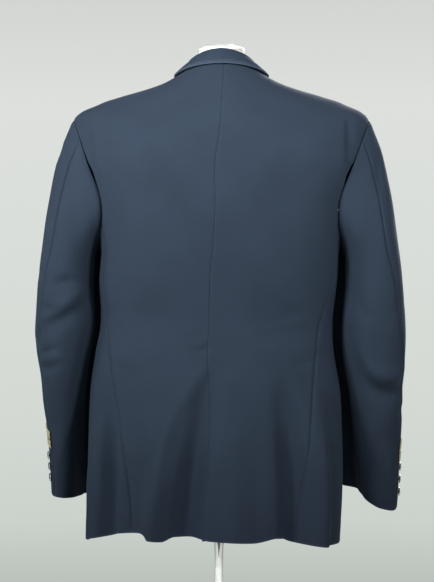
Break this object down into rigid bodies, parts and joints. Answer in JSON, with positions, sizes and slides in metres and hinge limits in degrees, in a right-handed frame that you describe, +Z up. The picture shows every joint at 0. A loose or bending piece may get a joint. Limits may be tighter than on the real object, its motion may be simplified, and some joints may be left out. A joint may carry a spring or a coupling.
{
  "type": "uniform jacket on a dress form stand",
  "caption": "Dark wool uniform jacket, single-breasted with notched lapels, braided cuffs and metal buttons, hanging on a limbless dress form on a pole stand with a round base.",
  "frame": {"origin": "on the floor, under the axis of the pole, at the underside of the base plate", "axes": "+Z up; the wearer faces -Y; +X is the wearer's left"},
  "size_m": [0.6106, 0.36, 1.5439],
  "materials": {
    "wool_cloth": "dark navy wool twill with a soft nap",
    "gold_braid": "flat woven metallic gold braid",
    "silver_buttons": "domed silver-coloured metal, lightly polished",
    "form_cover": "white jersey cover over a hard torso shell",
    "neck_cap": "satin white enamel",
    "pole_tube": "satin white enamel",
    "pole_rod": "darkened steel",
    "stand_base": "satin white enamel"
  },
  "bodies": {
    "root": {"back_left": "wool_cloth", "back_right": "wool_cloth", "collar": "wool_cloth", "cuff_braid_lower_left": "gold_braid", "cuff_braid_lower_right": "gold_braid", "cuff_braid_upper_left": "gold_braid", "cuff_braid_upper_right": "gold_braid", "cuff_button_1_left": "silver_buttons", "cuff_button_1_right": "silver_buttons", "cuff_button_2_left": "silver_buttons", "cuff_button_2_right": "silver_buttons", "cuff_button_3_left": "silver_buttons", "cuff_button_3_right": "silver_buttons", "form_torso": "form_cover", "front_button_1": "silver_buttons", "front_button_2": "silver_buttons", "front_button_3": "silver_buttons", "front_button_4": "silver_buttons", "front_left": "wool_cloth", "front_right": "wool_cloth", "lapel_left": "wool_cloth", "lapel_right": "wool_cloth", "neck_cap": "neck_cap", "pole_rod": "pole_rod", "pole_tube": "pole_tube", "side_left": "wool_cloth", "side_right": "wool_cloth", "stand_base": "stand_base", "stand_hub": "stand_base", "topsleeve_left": "wool_cloth", "topsleeve_right": "wool_cloth", "undersleeve_left": "wool_cloth", "undersleeve_right": "wool_cloth"}
  },
  "joints": []
}
